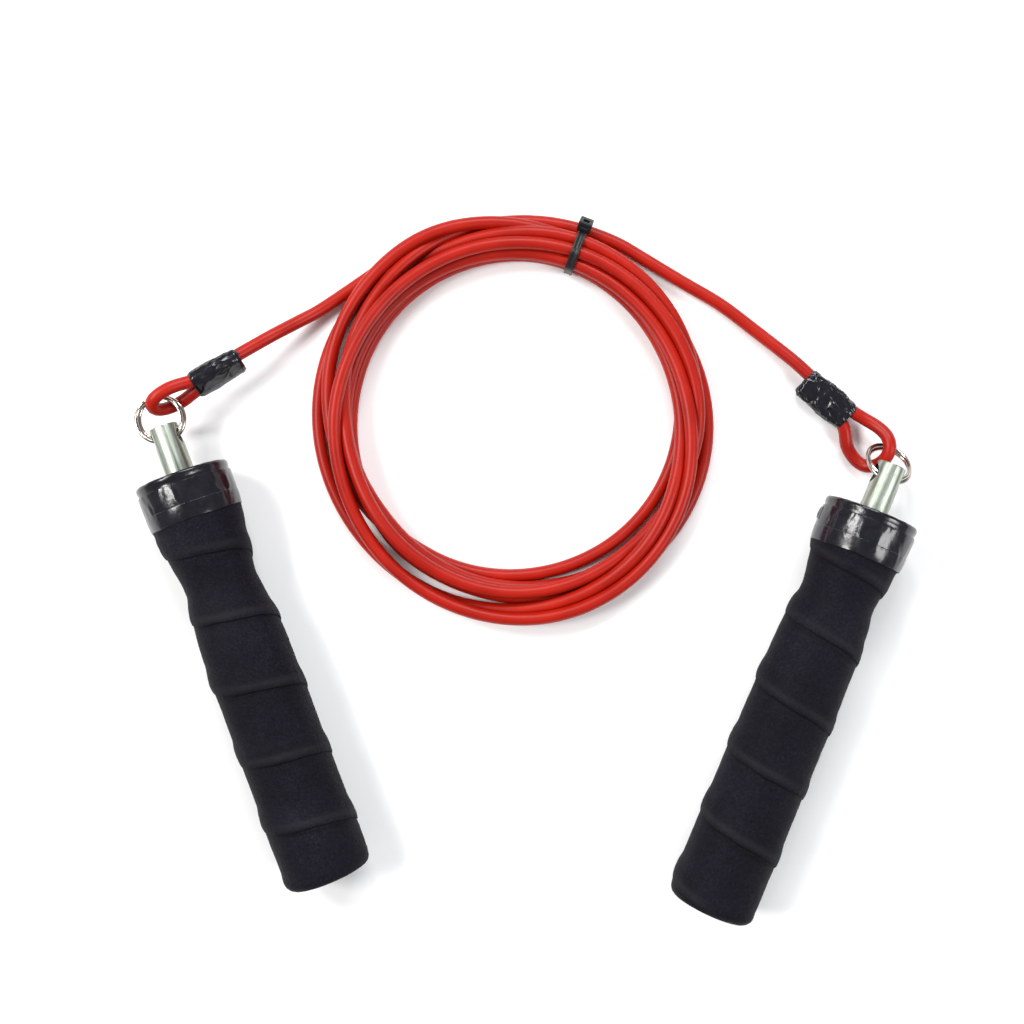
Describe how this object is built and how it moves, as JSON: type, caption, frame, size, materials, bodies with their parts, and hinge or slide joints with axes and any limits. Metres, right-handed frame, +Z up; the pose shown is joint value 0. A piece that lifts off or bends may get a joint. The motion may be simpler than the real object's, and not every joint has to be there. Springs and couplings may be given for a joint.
{
  "type": "jump rope",
  "caption": "Bearing jump rope lying stored: wrapped grip handles on swivelling pins, split rings, crimped eyes and a round cord coiled and held by a cable tie.",
  "frame": {"origin": "middle of the two handles' own box, on the surface the rope lies on", "axes": "+X from the left handle to the right one, +Y from the butts towards the pins, +Z up"},
  "size_m": [0.2933, 0.2695, 0.0356],
  "materials": {
    "grip_wrap": "matt over-wrap, faint weave",
    "vinyl_tape": "glossy, wrinkled",
    "core_plastic": "moulded",
    "bearing_steel": "ground",
    "cage_brass": "pressed",
    "zinc_steel": "zinc plated, drawn lines",
    "ring_steel": "nickel plated",
    "nylon": "natural",
    "clip_steel": "phosphated",
    "cap_plastic": "glossy",
    "cord_pvc": "glossy extruded jacket",
    "ferrule_alloy": "plain",
    "tie_nylon": "satin"
  },
  "bodies": {
    "rope": {"cord_coil": "cord_pvc", "cord_left_eye": "cord_pvc", "cord_left_tail": "cord_pvc", "cord_right_eye": "cord_pvc", "cord_right_tail": "cord_pvc", "cable_tie": "tie_nylon", "crimp_ferrule_left": "ferrule_alloy", "crimp_ferrule_right": "ferrule_alloy", "tape_sleeve_left": "vinyl_tape", "tape_sleeve_right": "vinyl_tape"},
    "ring_left": {"split_ring_left": "ring_steel"},
    "pin_left": {"spindle_left": "zinc_steel", "bearing_inner_race_left": "bearing_steel", "thrust_washer_left": "bearing_steel", "circlip_left": "clip_steel"},
    "handle_left": {"handle_core_left": "core_plastic", "grip_wrap_left": "grip_wrap", "neck_tape_left": "vinyl_tape", "retainer_plate_left": "core_plastic", "bearing_outer_race_left": "bearing_steel", "ball_cage_left": "cage_brass", "rear_bush_left": "nylon", "end_cap_left": "cap_plastic"},
    "ring_right": {"split_ring_right": "ring_steel"},
    "pin_right": {"spindle_right": "zinc_steel", "bearing_inner_race_right": "bearing_steel", "thrust_washer_right": "bearing_steel", "circlip_right": "clip_steel"},
    "handle_right": {"handle_core_right": "core_plastic", "grip_wrap_right": "grip_wrap", "neck_tape_right": "vinyl_tape", "retainer_plate_right": "core_plastic", "bearing_outer_race_right": "bearing_steel", "ball_cage_right": "cage_brass", "rear_bush_right": "nylon", "end_cap_right": "cap_plastic"}
  },
  "joints": [
    {"name": "ring_swing_left", "type": "hinge", "parent": "rope", "child": "ring_left", "pos_m": [-0.13337, 0.09669, 0.0178], "axis": [0, 0, 1], "range_deg": [-30, 3]},
    {"name": "pin_pivot_left", "type": "hinge", "parent": "ring_left", "child": "pin_left", "pos_m": [-0.13453, 0.08181, 0.0178], "axis": [-0.9372, -0.3488, 0], "range_deg": [-25, 90]},
    {"name": "handle_spin_left", "type": "hinge", "parent": "pin_left", "child": "handle_left", "pos_m": [-0.12957, 0.0685, 0.0178], "axis": [-0.3488, 0.9372, 0], "continuous": true},
    {"name": "ring_swing_right", "type": "hinge", "parent": "rope", "child": "ring_right", "pos_m": [0.13793, 0.07919, 0.0116], "axis": [0, 0, 1], "range_deg": [-15, 20]},
    {"name": "pin_pivot_right", "type": "hinge", "parent": "ring_right", "child": "pin_right", "pos_m": [0.13508, 0.06745, 0.0178], "axis": [-0.9235, 0.3835, 0], "range_deg": [-45, 90]},
    {"name": "handle_spin_right", "type": "hinge", "parent": "pin_right", "child": "handle_right", "pos_m": [0.12964, 0.05433, 0.0178], "axis": [0.3835, 0.9235, 0], "continuous": true}
  ]
}
